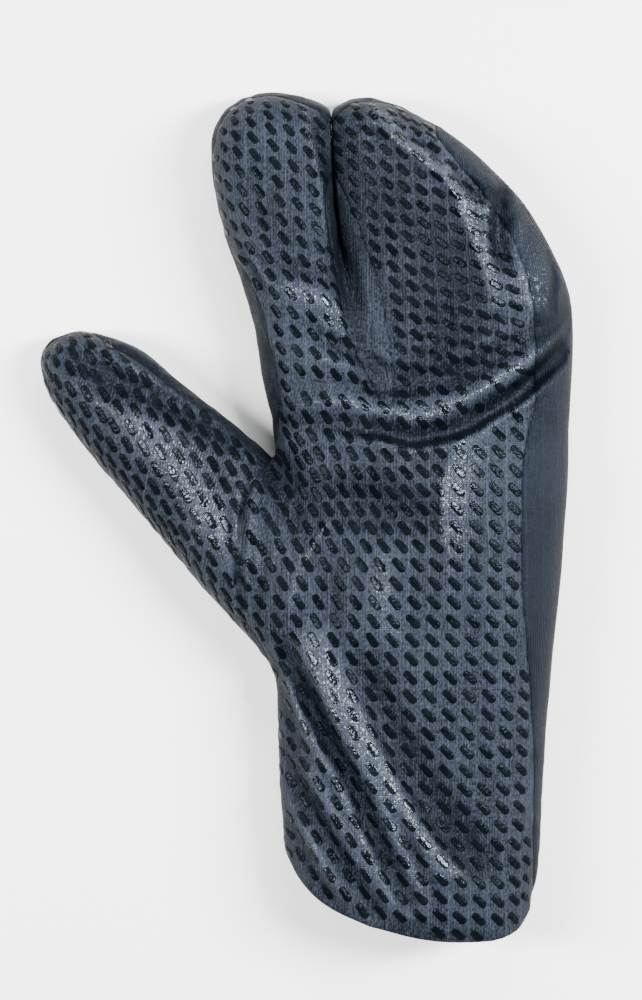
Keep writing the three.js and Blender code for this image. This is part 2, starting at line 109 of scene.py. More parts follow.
# The thumb, measured from its root along its own axis
THUMB = (
    (0.0, -0.645, 0.35, 0.88, 0.6), (0.048, -0.59, 0.42, 0.97, 0.9), (0.105, -0.567, 0.47, 1.0, 1.0),
    (0.279, -0.533, 0.505, 1.0, 1.0), (0.455, -0.491, 0.507, 0.93, 1.0), (0.56, -0.47, 0.485, 0.89, 1.0),
    (0.7, -0.443, 0.433, 0.84, 1.0), (0.805, -0.396, 0.404, 0.8, 1.0), (0.873, -0.359, 0.348, 0.77, 0.97),
    (0.914, -0.322, 0.287, 0.75, 0.9), (0.954, -0.261, 0.211, 0.72, 0.73),
    (0.98, -0.207, 0.126, 0.7, 0.5), (1.0, -0.12, -0.01, 0.68, 0.22),
)
# The slot between the lobes: at, across
PARTING = (
    (0.651, 0.258), (0.678, 0.212), (0.71, 0.167), (0.751, 0.144), (0.811, 0.111), (0.894, 0.088),
    (0.97, 0.082), (1.02, 0.084),
)
# The cuff's cut edge, in picture pixels: across, down
RIM = (
    (276, 800), (281, 815), (283, 832), (286, 850), (291, 861), (297, 872), (307, 884), (321, 896),
    (342, 908), (375, 920), (425, 932), (458, 935.5), (485, 934), (500, 931), (512, 926), (521, 918),
    (527, 907), (531, 892), (535, 872), (540, 830),
)

# The outline over the tips of the lobes, in picture pixels: across, down. The print stops short of it.
TIPS = (
    (205, 200), (210, 158), (221, 122), (234, 105), (250, 95), (268, 92), (285, 95), (302, 101),
    (318, 110), (330, 121), (342, 110), (354, 102), (370, 99), (390, 102), (412, 110), (440, 126),
    (470, 149), (500, 178), (530, 219), (560, 272),
)
TIP_BAND = 4  # pixels

# Creases (sink above 0) and ridges (below 0) of the palm side. sink and the reach to the left and right of
# the line are in millimetres, rolls is how far the fabric wells up beside it, as a share of sink. The line
# is in picture pixels: across, down, strength.
CREASES = (
    # the valley between the lobes, and the ridge of the gusset in it
    (3.6, 6.5, 2.4, 0, ((331, 118, 0.3), (332, 150, 0.8), (334, 190, 1), (339, 240, 1), (346, 290, 0.9),
        (356, 330, 0.7), (372, 365, 0.5), (388, 388, 0.3))),
    (-2.2, 3.4, 3.0, 0, ((352, 225, 0.3), (359, 262, 0.9), (367, 300, 1), (379, 340, 0.8),
        (391, 374, 0.4))),
    # the deep crease across the palm
    (5.2, 4.2, 1.7, 0.2, ((284, 428, 0.1), (326, 427, 0.25), (354, 431, 0.5), (383, 435, 0.8),
        (409, 442, 0.95),
        (436, 438, 1), (464, 430, 1), (491, 413, 1), (515, 399, 1), (534, 383, 0.9),
        (560, 360, 0.6))),
    # the crease where the lobes begin, and the puff between the two
    (3.0, 4.5, 4.0, 0.1, ((300, 392, 0.3), (345, 388, 0.5), (385, 388, 0.8), (430, 383, 1), (464, 376, 1),
        (500, 356, 0.9), (535, 336, 0.8), (566, 318, 0.6))),
    (-1.3, 4.0, 4.0, 0, ((310, 405, 0.5), (350, 402, 1), (400, 408, 0.8), (450, 402, 1), (490, 378, 0.9),
        (530, 352, 0.9), (560, 335, 0.5))),
    (2.2, 1.6, 2.4, 0.2, ((508, 398, 0.4), (530, 378, 1), (552, 352, 1), (568, 330, 0.7))),
    # the hollow of the rear lobe, the sharp ridge beside it and the dents beyond
    (6.5, 13.0, 15.0, 0, ((385, 205, 0.4), (402, 235, 0.9), (418, 268, 1), (430, 300, 0.9),
        (425, 335, 0.5))),
    (-2.8, 4.0, 2.0, 0, ((372, 112, 0.5), (392, 140, 0.9), (420, 166, 1), (447, 187, 1), (463, 226, 1),
        (475, 256, 1), (485, 290, 0.7), (492, 315, 0.2))),
    (4.4, 3.2, 2.4, 0.2, ((503, 185, 0.3), (497, 212, 1), (496, 240, 1), (501, 266, 0.4))),
    (2.8, 2.6, 2.6, 0.3, ((452, 178, 0.4), (470, 192, 1), (492, 200, 0.8), (512, 188, 0.3))),
    (1.8, 2.2, 2.2, 0.3, ((505, 225, 0.6), (525, 214, 1), (540, 218, 0.4))),
    (-2.4, 6.0, 6.0, 0, ((520, 245, 0.4), (530, 275, 1), (535, 305, 0.6))),
    (1.6, 1.3, 1.3, 0.3, ((545, 258, 0.4), (551, 282, 1), (549, 312, 0.5))),
    (1.6, 1.5, 1.5, 0.3, ((398, 140, 0.4), (420, 148, 1), (440, 170, 0.5))),
    (1.4, 1.6, 1.6, 0.3, ((352, 128, 0.3), (372, 136, 1), (392, 158, 0.4))),
    (1.2, 3.0, 3.0, 0.2, ((400, 345, 0.4), (440, 345, 1), (480, 330, 1), (520, 318, 0.6))),
    (-1.0, 1.6, 1.6, 0, ((432, 300, 0.4), (440, 325, 1), (436, 350, 0.6), (428, 368, 0.3))),
    (-1.0, 1.6, 1.6, 0, ((448, 296, 0.4), (456, 322, 1), (450, 348, 0.6), (444, 364, 0.3))),
    (0.9, 1.5, 1.5, 0, ((440, 300, 0.4), (448, 322, 1), (443, 348, 0.6))),
    # the fore lobe: a fold edge beside the slot, the puff beside the fork, puckers by the outer seam
    (-1.8, 2.2, 1.2, 0, ((303, 112, 0.4), (307, 132, 1), (314, 158, 1), (320, 190, 0.8), (325, 235, 0.4))),
    (2.2, 3.5, 3.5, 0, ((318, 128, 0.6), (322, 150, 1), (325, 175, 0.6))),
    (1.2, 6.0, 6.0, 0.1, ((250, 200, 0.3), (272, 225, 1), (290, 255, 0.5))),
    (-3.0, 4.6, 4.6, 0, ((292, 294, 0.3), (318, 304, 1), (336, 313, 0.8), (354, 326, 0.35),
        (370, 340, 0.1))),
    (2.6, 2.0, 3.0, 0.2, ((305, 330, 0.3), (335, 346, 1), (360, 358, 1), (385, 370, 0.8))),
    (1.6, 2.4, 3.0, 0.2, ((268, 262, 0.3), (292, 272, 1), (318, 278, 0.8), (335, 280, 0.4))),
    (1.2, 1.1, 1.1, 0.4, ((234, 262, 0.5), (248, 288, 1), (256, 318, 0.5))),
    (1.2, 1.1, 1.1, 0.4, ((242, 254, 0.5), (257, 280, 1), (268, 302, 0.4))),
    (1.2, 1.2, 1.2, 0.4, ((252, 250, 0.4), (266, 270, 1), (280, 286, 0.4))),
    (1.0, 1.3, 1.3, 0.4, ((254, 318, 0.5), (266, 345, 1), (273, 372, 0.5))),
    # the palm: its hollow, the fold edge beside that, the dip at the thumb's crotch and pull lines from it
    (4.4, 9.0, 7.0, 0, ((322, 498, 0.5), (350, 505, 1), (385, 513, 1), (412, 520, 0.5))),
    (-2.6, 8.0, 1.8, 0, ((452, 448, 0.6), (444, 470, 1), (440, 505, 1), (442, 545, 0.4))),
    (3.2, 6.0, 6.0, 0.1, ((276, 474, 1), (286, 494, 1), (292, 522, 0.5))),
    (-1.1, 1.2, 1.2, 0, ((348, 500, 0.3), (322, 530, 1), (304, 560, 0.4))),
    (-1.0, 1.2, 1.2, 0, ((312, 470, 0.3), (292, 503, 1), (278, 540, 0.4))),
    (-1.0, 1.4, 1.4, 0, ((300, 560, 0.3), (293, 600, 1), (300, 640, 0.4))),
    (1.4, 3.5, 3.5, 0.2, ((340, 560, 0.3), (332, 600, 1), (345, 650, 0.6), (362, 688, 0.4))),
    (-1.2, 4.0, 4.0, 0, ((385, 545, 0.4), (380, 590, 1), (392, 640, 0.6))),
    (0.9, 4.0, 4.0, 0.1, ((474, 560, 0.3), (470, 630, 1), (478, 720, 0.8), (486, 800, 0.3))),
    # the cuff's slanting folds, and its turned-down edge
    (4.4, 3.2, 2.2, 0.3, ((286, 648, 0.3), (305, 692, 1), (323, 729, 1), (352, 781, 1), (373, 828, 1),
        (387, 858, 0.8), (404, 895, 0.4))),
    (4.4, 7.0, 3.6, 0.05, ((360, 665, 0.4), (374, 700, 0.8), (388, 735, 1), (405, 768, 1), (428, 806, 1),
        (446, 832, 1), (468, 858, 0.6))),
    (3.4, 3.0, 3.0, 0.25, ((282, 742, 0.5), (300, 785, 1), (325, 830, 1), (350, 870, 1), (374, 904, 0.6))),
    (-2.4, 6.5, 5.0, 0, ((310, 645, 0.6), (340, 699, 1), (373, 752, 1), (408, 808, 1), (444, 862, 0.9))),
    (1.8, 2.0, 2.0, 0.3, ((280, 690, 0.6), (293, 730, 1), (308, 762, 0.6))),
    (1.6, 2.0, 2.0, 0.3, ((395, 812, 0.4), (412, 846, 1), (430, 884, 0.7), (440, 915, 0.4))),
    (1.4, 2.0, 2.0, 0.3, ((288, 812, 0.5), (306, 850, 1), (330, 890, 0.6))),
    (1.8, 4.5, 4.5, 0, ((281, 800, 0.2), (288, 845, 1), (306, 878, 1), (340, 903, 1), (380, 917, 0.9),
        (430, 929, 0.7), (480, 932, 0.5))),
    # the thumb: its long crease, the crown below it, puckers of the upper strip and of its root
    (3.2, 3.0, 4.5, 0.2, ((84, 360, 0.4), (106, 374, 1), (126, 386, 1), (161, 400, 1), (195, 415, 1),
        (228, 436, 0.6))),
    (-2.4, 6.0, 6.0, 0, ((140, 425, 0.5), (180, 470, 1), (208, 515, 1), (235, 560, 0.4))),
    (1.4, 1.1, 1.1, 0.4, ((104, 341, 0.6), (132, 353, 1), (158, 374, 0.6))),
    (1.2, 1.1, 1.1, 0.4, ((118, 350, 0.6), (146, 366, 1), (176, 390, 0.6))),
    (1.6, 1.3, 1.3, 0.3, ((254, 474, 0.5), (247, 500, 1), (244, 540, 1), (241, 580, 0.6))),
    (1.4, 1.3, 1.3, 0.3, ((264, 500, 0.4), (268, 545, 1), (264, 595, 0.5))),
    (1.4, 1.3, 1.3, 0.3, ((230, 512, 0.4), (234, 556, 1), (246, 604, 0.5))),
)

# Edges of the panels seen from above: at, left, right. The thumb's front: at on its own axis, right
PALM_EDGES = (
    (-0.03, -0.3, 0.735), (0.183, -0.3, 0.735), (0.278, -0.3, 0.728), (0.349, -0.3, 0.708),
    (0.444, -0.34, 0.69), (0.53, -0.3, 0.69), (0.575, -0.1, 0.7), (0.633, -0.088, 0.736),
    (0.704, -0.118, 0.736), (0.74, -0.144, 0.729), (0.769, -0.177, 0.713), (0.796, -0.222, 0.69),
    (0.828, -0.33, 0.65), (0.87, -0.379, 0.579), (0.911, -0.379, 0.48), (0.947, -0.379, 0.42),
    (1.01, -0.379, 0.42),
)
GUSSET_EDGES = (
    (0.628, 0.262, 0.27), (0.645, 0.225, 0.286), (0.669, 0.19, 0.28), (0.704, 0.144, 0.265),
    (0.74, 0.122, 0.25), (0.775, 0.104, 0.23), (0.811, 0.086, 0.195), (0.846, 0.07, 0.155),
    (0.87, 0.066, 0.128), (0.9, 0.083, 0.09),
)
THUMB_EDGES = (
    (0.3, -1.1, -0.12), (0.316, -1.1, -0.118), (0.349, -1.1, -0.15), (0.379, -1.1, -0.199),
    (0.432, -1.1, -0.228), (0.467, -1.1, -0.222), (0.503, -1.1, -0.206), (0.527, -1.1, -0.183),
    (0.55, -1.1, -0.144), (0.564, -1.1, -0.115), (0.59, -1.1, -0.14), (0.66, -1.1, -0.19),
    (0.78, -1.1, -0.35),
)
THUMB_FRONT_EDGES = (
    (0.1, 0.47), (0.5, 0.45), (0.7, 0.36), (0.85, 0.29), (0.91, 0.25), (0.96, 0.23), (1.06, 0.23),
)


# Adding meshes and objects


def mesh_of(bm, name):
    """A mesh made from a bmesh, which is freed."""
    mesh = bpy.data.meshes.new(name)
    bm.to_mesh(mesh)
    bm.free()
    return mesh


def add_object(name, data):
    thing = bpy.data.objects.new(name, data)
    bpy.context.scene.collection.objects.link(thing)
    return thing


def shade_smooth(mesh):
    for polygon in mesh.polygons:
        polygon.use_smooth = True


# Curves through a table's rows


def column(rows, number, at):
    """One column of a table at each place in at, on a smooth curve that stays between its rows."""
    table = np.array(rows, dtype=float)
    place, value = table[:, 0], table[:, number]
    slope = np.diff(value) / np.diff(place)
    same = slope[:-1] * slope[1:] > 0
    total = np.where(same, slope[:-1] + slope[1:], 1)
    inner = np.where(same, 2 * slope[:-1] * slope[1:] / total, 0)
    tangent = np.concatenate([slope[:1], inner, slope[-1:]])
    at = np.asarray(at, dtype=float)
    i = np.clip(np.searchsorted(place, at) - 1, 0, len(place) - 2)
    span = place[i + 1] - place[i]
    t = np.clip((at - place[i]) / span, 0, 1)
    rest = 1 - t
    ends = value[i] * rest**2 * (1 + 2 * t) + value[i + 1] * t**2 * (3 - 2 * t)
    return ends + span * t * rest * (rest * tangent[i] - t * tangent[i + 1])


def smooth(value, low, high):
    t = np.clip((value - low) / (high - low), 0, 1)
    return t * t * (3 - 2 * t)


def stations(rows, step):
    """Places from a table's first row to its last, through every row and no further apart than step."""
    places = [rows[0][0]]
    for before, after in zip(rows, rows[1:]):
        parts = max(1, math.ceil((after[0] - before[0]) / step))
        places += [before[0] + (after[0] - before[0]) * k / parts for k in range(1, parts + 1)]
    return places


def across_of(pixel):
    """X of a picture column."""
    return (pixel - ORIGIN_ACROSS) * PIXEL


def along_of(pixel):
    """Y of a picture row."""
    return (ORIGIN_DOWN - pixel) * PIXEL


# The filled form

RING_SIDES = 96
RING_STEP = 3 * MM
VOXEL = 1.15 * MM
SETTLING, SETTLING_SHARE = 12, 0.5


def parting_x(y):
    """The middle of the slot between the lobes, at places along the mitt."""
    return column(PARTING, 1, (y - CUFF_Y) / LENGTH) * WIDTH + CUFF_X


def limb(name, rows, width, length, depth, side=0, turn=0.0, root=(0.0, 0.0)):
    """A closed loft of one limb. side: -1 or 1 keeps it left or right of the slot between the lobes."""
    bm = bmesh.new()
    rings = []
    for at in stations(rows, RING_STEP / length):
        left, right, crown, full = (float(column(rows, number, at)) for number in (1, 2, 3, 4))
        centre, half = (left + right) / 2 * width, (right - left) / 2 * width
        level = MIDDLE * crown * depth
        rise = (crown * depth - level) * full
        drop = level * full * UNDER_FULLNESS
        ring = bmesh.ops.create_circle(bm, segments=RING_SIDES, radius=1)["verts"]
        for corner in ring:
            angle = math.atan2(corner.co.y, corner.co.x)
            cosine, sine = math.cos(angle), math.sin(angle)
            exponent = 2 / (TOP_POWER if sine >= 0 else UNDER_POWER)
            across = centre + half * math.copysign(abs(cosine) ** exponent, cosine)
            height = level + (rise if sine >= 0 else -drop) * abs(sine) ** exponent
            along = at * length
            x = root[0] + across * math.cos(turn) - along * math.sin(turn) + CUFF_X
            y = root[1] + across * math.sin(turn) + along * math.cos(turn) + CUFF_Y
            if side:
                wall = float(parting_x(y)) + side * OPEN_SLOT / 2
                x = side * max(side * x, side * wall)
            corner.co = (x, y, max(0.0, height))
        rings.append(list({edge for corner in ring for edge in corner.link_edges}))
    for before, after in zip(rings, rings[1:]):
        bmesh.ops.bridge_loops(bm, edges=before + after)
    for end in (rings[0], rings[-1]):
        bmesh.ops.contextual_create(bm, geom=end)
    bmesh.ops.recalc_face_normals(bm, faces=bm.faces)
    bmesh.ops.triangulate(bm, faces=[face for face in bm.faces if len(face.verts) > 4])
    return mesh_of(bm, name)


def filled_form():
    """All limbs fused into one smooth closed skin."""
    thumb_size = (THUMB_WIDTH, THUMB_LENGTH, THUMB_DEPTH)
    limbs = (
        limb("body_form", BODY, WIDTH, LENGTH, DEPTH),
        limb("fore_form", FORE_LOBE, WIDTH, LENGTH, LOBE_DEPTH, side=-1),
        limb("rear_form", REAR_LOBE, WIDTH, LENGTH, LOBE_DEPTH, side=1),
        limb("web_form", WEB, WIDTH, LENGTH, LOBE_DEPTH),
        limb("thumb_form", THUMB, *thumb_size, turn=THUMB_ANGLE, root=THUMB_ROOT),
    )
    bm = bmesh.new()
    for mesh in limbs:
        bm.from_mesh(mesh)
    joined = mesh_of(bm, "limbs")
    work = add_object("limbs", joined)
    remesh = work.modifiers.new("fuse", "REMESH")
    remesh.mode = "VOXEL"
    remesh.voxel_size = VOXEL
    settle = work.modifiers.new("settle", "SMOOTH")
    settle.factor = SETTLING_SHARE
    settle.iterations = SETTLING
    evaluated = work.evaluated_get(bpy.context.evaluated_depsgraph_get())
    fused = bpy.data.meshes.new_from_object(evaluated)
    bpy.data.objects.remove(work)
    for mesh in (*limbs, joined):
        bpy.data.meshes.remove(mesh)
    return fused


def vectors_of(things, name):
    table = np.empty(len(things) * 3)
    things.foreach_get(name, table)
    return table.reshape(-1, 3)


def points_of(mesh):
    return vectors_of(mesh.vertices, "co")


def normals_of(mesh):
    return vectors_of(mesh.vertex_normals, "vector")


def set_points(mesh, points):
    mesh.vertices.foreach_set("co", points.ravel())
    mesh.update()


WALL_GIVE, SHOULDER_GIVE = 7 * MM, 5 * MM  # how far from the slot the lobes still give way
SHOULDER_PULL = 0.8 * MM  # by which the lobes come closer high up
SHOULDER = (0.35 * LOBE_DEPTH, 0.6 * LOBE_DEPTH)  # heights between which that comes in
FLATTENED = 0.02  # what is left of the slope of a pressed wall


def shut_slot(points):
    """Presses the lobes together above the web, so that only a thin slot stays between them."""
    off = points[:, 0] - parting_x(points[:, 1])
    away = np.abs(off)
    wall = OPEN_SLOT / 2
    beyond = np.maximum(0, away - wall)
    above_fork = smooth(points[:, 1], *(CUFF_Y + at * LENGTH for at in FORK_SHUT))
    pull = (wall - SHUT_SLOT / 2) * np.exp(-beyond / WALL_GIVE) * above_fork
    shoulder = smooth(points[:, 2], *SHOULDER)
    pull += SHOULDER_PULL * shoulder * np.exp(-beyond / SHOULDER_GIVE) * above_fork
    pressed = np.minimum(away, SHUT_SLOT / 2 + FLATTENED * away)
    kept = np.maximum(pressed, away - pull)
    points[:, 0] += np.sign(off) * (kept - away) * (above_fork > 0)


FAR = 1.0  # metres, further than anything here
LINE_STEP, FEWEST_STEPS = 1.5 * MM, 12  # of a crease's line


def along_line(x, y, line):
    """Distance of places from a line, above 0 on its left, and the line's strength there."""
    table = np.array(line, dtype=float)
    px, py = across_of(table[:, 0]), along_of(table[:, 1])
    way = np.concatenate([[0], np.cumsum(np.hypot(np.diff(px), np.diff(py)))])
    samples = np.linspace(0, way[-1], max(FEWEST_STEPS, int(way[-1] / LINE_STEP)))
    cx = column(np.column_stack([way, px]), 1, samples)
    cy = column(np.column_stack([way, py]), 1, samples)
    force = np.interp(samples, way, table[:, 2])
    nearest = np.full(x.shape, FAR)
    signed = np.full(x.shape, FAR)
    strength = np.zeros(x.shape)
    for k in range(len(samples) - 1):
        step_x, step_y = cx[k + 1] - cx[k], cy[k + 1] - cy[k]
        span = math.hypot(step_x, step_y)
        off_x, off_y = x - cx[k], y - cy[k]
        t = np.clip((off_x * step_x + off_y * step_y) / span**2, 0, 1)
        gap = np.hypot(off_x - t * step_x, off_y - t * step_y)
        closer = gap < nearest
        side = np.sign(step_x * off_y - step_y * off_x)
        nearest = np.where(closer, gap, nearest)
        signed = np.where(closer, gap * side, signed)
        strength = np.where(closer, force[k] + t * (force[k + 1] - force[k]), strength)
    return signed, strength


ROLL_PLACE, ROLL_WIDTH = 1.9, 0.75  # of the welled-up fabric beside a crease, in reaches
CREASE_SPREAD = 3.4  # reaches beyond which a crease isn't felt
PALM_SIDE = (0.42 * LOBE_DEPTH, 0.75 * LOBE_DEPTH)  # heights between which the creases come in
FULL_PAINTED_HIGHLIGHT = 3.2 * MM  # rise of a ridge at which its painted highlight is brightest
# The painted shade of a crease goes no darker than this tone
DARKEST_PAINTED_CREASE = -0.5
WALL_PAINTED_SHADE = 1.5  # painted shade by which an upright wall is darkened
WALL_TURN = (0.1, 0.75)  # how far up the fabric faces where a wall ends and where the palm begins


def crease_sink(x, y):
    """How far the creases press the palm side down at places seen from above."""
    total = np.zeros_like(x)
    for sink, left_reach, right_reach, rolls, line in CREASES:
        table = np.array(line, dtype=float)
        px, py = across_of(table[:, 0]), along_of(table[:, 1])
        spread = CREASE_SPREAD * max(left_reach, right_reach) * MM
        near = (x > px.min() - spread) & (x < px.max() + spread)
        near &= (y > py.min() - spread) & (y < py.max() + spread)
        signed, strength = along_line(x[near], y[near], line)
        reach = np.where(signed > 0, left_reach, right_reach) * MM
        away = np.abs(signed) / reach
        shape = np.exp(-(away**2)) - rolls * np.exp(-(((away - ROLL_PLACE) / ROLL_WIDTH) ** 2))
        total[near] += sink * MM * strength * shape
    return total


def painted_light_and_shade(points, normals):
    """Painted light: above 0 on a ridge, painted lighter as highlight, below 0 in creases and on walls,
    painted darker as shade.
    """
    on_top = smooth(points[:, 2], *PALM_SIDE)
    rise = -crease_sink(points[:, 0], points[:, 1]) / FULL_PAINTED_HIGHLIGHT
    upright = 1 - smooth(normals[:, 2], *WALL_TURN)
    return on_top * np.clip(rise, DARKEST_PAINTED_CREASE, 1) - WALL_PAINTED_SHADE * upright


# Painted light and shade, stored on each point for the materials
def mark_painted_light(mesh):
    painted_light = mesh.attributes.new("painted_light", "FLOAT", "POINT")
    painted_light.data.foreach_set("value", painted_light_and_shade(points_of(mesh), normals_of(mesh)))


def press_creases(points):
    on_top = smooth(points[:, 2], *PALM_SIDE)
    points[:, 2] -= on_top * crease_sink(points[:, 0], points[:, 1])


# Panels. Each function is above 0 inside its panel, and about the distance to the panel's edge

LEAN_STEP = 0.002  # each way along the mitt, for measuring an edge's slant


def between_edges(x, y, edges):
    """How far places lie inside the left and right edges of a table."""
    at = (y - CUFF_Y) / LENGTH
    sides = []
    for number, sign in ((1, 1), (2, -1)):
        edge = column(edges, number, at) * WIDTH + CUFF_X
        before, after = (column(edges, number, at + step) for step in (-LEAN_STEP, LEAN_STEP))
        lean = (after - before) * WIDTH / (2 * LEAN_STEP * LENGTH)
        sides.append(sign * (x - edge) / np.sqrt(1 + lean**2))
    low, high = (edges[k][0] * LENGTH + CUFF_Y for k in (0, -1))
    return np.minimum.reduce([*sides, y - low, high - y])


def above_line(x, y, line, shift=0):
    """How far places lie above a line of the picture that is moved down by shift pixels."""
    across = ORIGIN_ACROSS + x / PIXEL
    edge, later = (along_of(column(line, 1, across + step) + shift) for step in (0, 1))
    return (y - edge) / np.sqrt(1 + ((later - edge) / PIXEL) ** 2)


def in_rim(points):
    return above_line(points[:, 0], points[:, 1], RIM)


def in_thumb(points):
    return between_edges(points[:, 0], points[:, 1], THUMB_EDGES)


def in_thumb_front(points):
    x = points[:, 0] - CUFF_X - THUMB_ROOT[0]
    y = points[:, 1] - CUFF_Y - THUMB_ROOT[1]
    across = x * math.cos(THUMB_ANGLE) + y * math.sin(THUMB_ANGLE)
    along = y * math.cos(THUMB_ANGLE) - x * math.sin(THUMB_ANGLE)
    at = along / THUMB_LENGTH
    right = column(THUMB_FRONT_EDGES, 1, at) * THUMB_WIDTH - across
    tip = (THUMB_FRONT_EDGES[-1][0] - at) * THUMB_LENGTH
    return np.minimum.reduce([right, tip, points[:, 2] - SEAM_HEIGHT])


def in_gusset(points):
    x, y, z = points.T
    return np.minimum(between_edges(x, y, GUSSET_EDGES), z - GUSSET_HEIGHT)


def in_palm(points):
    x, y, z = points.T
    below_tip = -above_line(x, y, TIPS, TIP_BAND)
    return np.minimum.reduce([between_edges(x, y, PALM_EDGES), below_tip, z - SEAM_HEIGHT])


THUMB_FRONT, THUMB_BACK, GUSSET, PALM, BACK = range(5)


def panel_of(points):
    """The number of the panel that each point belongs to."""
    hand = np.where(in_gusset(points) > 0, GUSSET, np.where(in_palm(points) > 0, PALM, BACK))
    thumb = np.where(in_thumb_front(points) > 0, THUMB_FRONT, THUMB_BACK)
    return np.where(in_thumb(points) > 0, thumb, hand)


def seam_distance(points):
    """Distance from the nearest seam."""
    thumb, front = in_thumb(points), in_thumb_front(points)
    gusset, palm = in_gusset(points), in_palm(points)
    inner = np.where(thumb > 0, np.abs(front), FAR)
    outer = np.where(thumb <= 0, np.abs(gusset), FAR)
    edge = np.where((thumb <= 0) & (gusset <= 0), np.abs(palm), FAR)
    return np.minimum.reduce([np.abs(thumb), inner, outer, edge])


SNAP_ROUNDS = 4
LONGEST_SNAP = 1.2 * MM
NUDGE = 0.15 * MM  # for measuring how fast a panel's function changes
LEAST_CLIMB = 0.04  # squared, so that no step grows long where the function hardly changes
TINY = 1e-9


def onto_edge(points, normals, chosen, inside):
    """Slides the chosen points along the skin onto the edge where a panel's function is 0."""
    for _ in range(SNAP_ROUNDS):
        place = points[chosen]
        value = inside(place)
        climb = np.empty_like(place)
        for axis in range(3):
            nudged = place.copy()
            nudged[:, axis] += NUDGE
            climb[:, axis] = (inside(nudged) - value) / NUDGE
        flat = climb - normals[chosen] * (climb * normals[chosen]).sum(axis=1, keepdims=True)
        size = np.maximum((flat**2).sum(axis=1, keepdims=True), LEAST_CLIMB)
        step = -value[:, None] * flat / size
        length = np.linalg.norm(step, axis=1, keepdims=True)
        step *= np.minimum(1, LONGEST_SNAP / np.maximum(length, TINY))
        points[chosen] = place + step


# Grooves and puckers along the seams, and the soft unevenness of worn fabric

GROOVE_DEPTH, GROOVE_WIDTH = 0.3 * MM, 0.7 * MM
PUCKER_HEIGHT, PUCKER_WIDTH = 0.45 * MM, 4 * MM
PUCKER_SCALE = 230.0  # per metre
PUCKER_PLACE = Vector((3, 1, 7))  # in the noise
WAVE_HEIGHT, WAVE_SCALE = 0.7 * MM, 45.0
WAVE_PLACE = Vector((9, 4, 2))
GROUND_CLEAR = 2.5 * MM  # height up to which the skin stays pressed flat


def uneven(points, scale, place):
    """Smooth noise at each point, about -1 to 1."""
    return np.array([noise.noise(Vector(point) * scale + place) for point in points])


def sew(points, normals):
    """Sinks the seams, puckers the fabric beside them and makes all of it a little uneven."""
    away = seam_distance(points)
    lying = smooth(points[:, 2], 0.0, GROUND_CLEAR)
    groove = -GROOVE_DEPTH * np.exp(-((away / GROOVE_WIDTH) ** 2))
    pucker = PUCKER_HEIGHT * uneven(points, PUCKER_SCALE, PUCKER_PLACE)
    pucker *= np.exp(-((away / PUCKER_WIDTH) ** 2))
    wave = WAVE_HEIGHT * uneven(points, WAVE_SCALE, WAVE_PLACE)
    points += normals * (lying * (groove + pucker + wave))[:, None]
    points[:, 2] = np.maximum(points[:, 2], 0)


# The fabric's own coordinates, measured along the skin

GRID = 1 * MM
GRID_LEFT, GRID_LOW = -96 * MM, -150 * MM
GRID_WIDE, GRID_LONG = 192, 300  # cells
LAST_CELL = 1.001  # from the grid's end, so that a reading has a cell after it
PLACING_ROUNDS, PLACING_SHARE = 60, 0.55
STEEPEST = 1.7  # slope past which a wall counts as upright
SMOOTHINGS = 5
SKY = 0.1  # height from which the skin is looked down on
DOWN = Vector((0, 0, -1))
WALL_TOP = 24 * MM  # height above which a side wall has turned over into the palm
THUMB_LEAN = math.radians(13)  # between the thumb's wales and the palm's


class Chart:
    """Heights of the palm side on a grid, and lengths measured over them."""

    def __init__(self, skin):
        self.height = np.zeros((GRID_LONG, GRID_WIDE))
        found = np.zeros_like(self.height, dtype=bool)
        for row in range(GRID_LONG):
            for place in range(GRID_WIDE):
                start = Vector((GRID_LEFT + place * GRID, GRID_LOW + row * GRID, SKY))
                hit = skin.ray_cast(start, DOWN)[0]
                if hit is not None:
                    self.height[row, place] = hit.z
                    found[row, place] = True
        # past the cuff's cut edge the fabric counts as level, so that the edge isn't read as a slope
        for row in range(round((along_of(RIM[0][1]) - GRID_LOW) / GRID), -1, -1):
            beyond = ~found[row]
            self.height[row, beyond] = self.height[row + 1, beyond]
        even = self.height.copy()
        for _ in range(SMOOTHINGS):
            for axis in (0, 1):
                even = (np.roll(even, 1, axis) + 2 * even + np.roll(even, -1, axis)) / 4
        self.slope_x = np.gradient(even, GRID, axis=1)
        self.slope_y = np.gradient(even, GRID, axis=0)
        inside = found.copy()
        for axis in (0, 1):
            for step in (1, -1):
                inside &= np.roll(found, step, axis)
        steps_x = np.where(inside, np.minimum(np.abs(self.slope_x), STEEPEST), 0)
        steps_y = np.where(inside, np.minimum(np.abs(self.slope_y), STEEPEST), 0)
        self.over_x = np.cumsum(np.sqrt(1 + steps_x**2), axis=1) * GRID
        self.over_y = np.cumsum(np.sqrt(1 + steps_y**2), axis=0) * GRID

    def read(self, table, x, y):
        """A table's values between its cells."""
        column_at = np.clip((np.asarray(x) - GRID_LEFT) / GRID, 0, GRID_WIDE - LAST_CELL)
        row_at = np.clip((np.asarray(y) - GRID_LOW) / GRID, 0, GRID_LONG - LAST_CELL)
        i, j = column_at.astype(int), row_at.astype(int)
        s, t = column_at - i, row_at - j
        low = table[j, i] * (1 - s) + table[j, i + 1] * s
        high = table[j + 1, i] * (1 - s) + table[j + 1, i + 1] * s
        return low * (1 - t) + high * t

    def places(self, origin, wanted):
        """Places that lie the wanted lengths across and along from an origin, measured over the skin."""
        x, y = origin[0] + wanted[:, 0], origin[1] + wanted[:, 1]
        for _ in range(PLACING_ROUNDS):
            across = self.read(self.over_x, x, y) - self.read(self.over_x, origin[0], y)
            along = self.read(self.over_y, x, y) - self.read(self.over_y, x, origin[1])
            x = x + PLACING_SHARE * (wanted[:, 0] - across)
            y = y + PLACING_SHARE * (wanted[:, 1] - along)
        return x, y


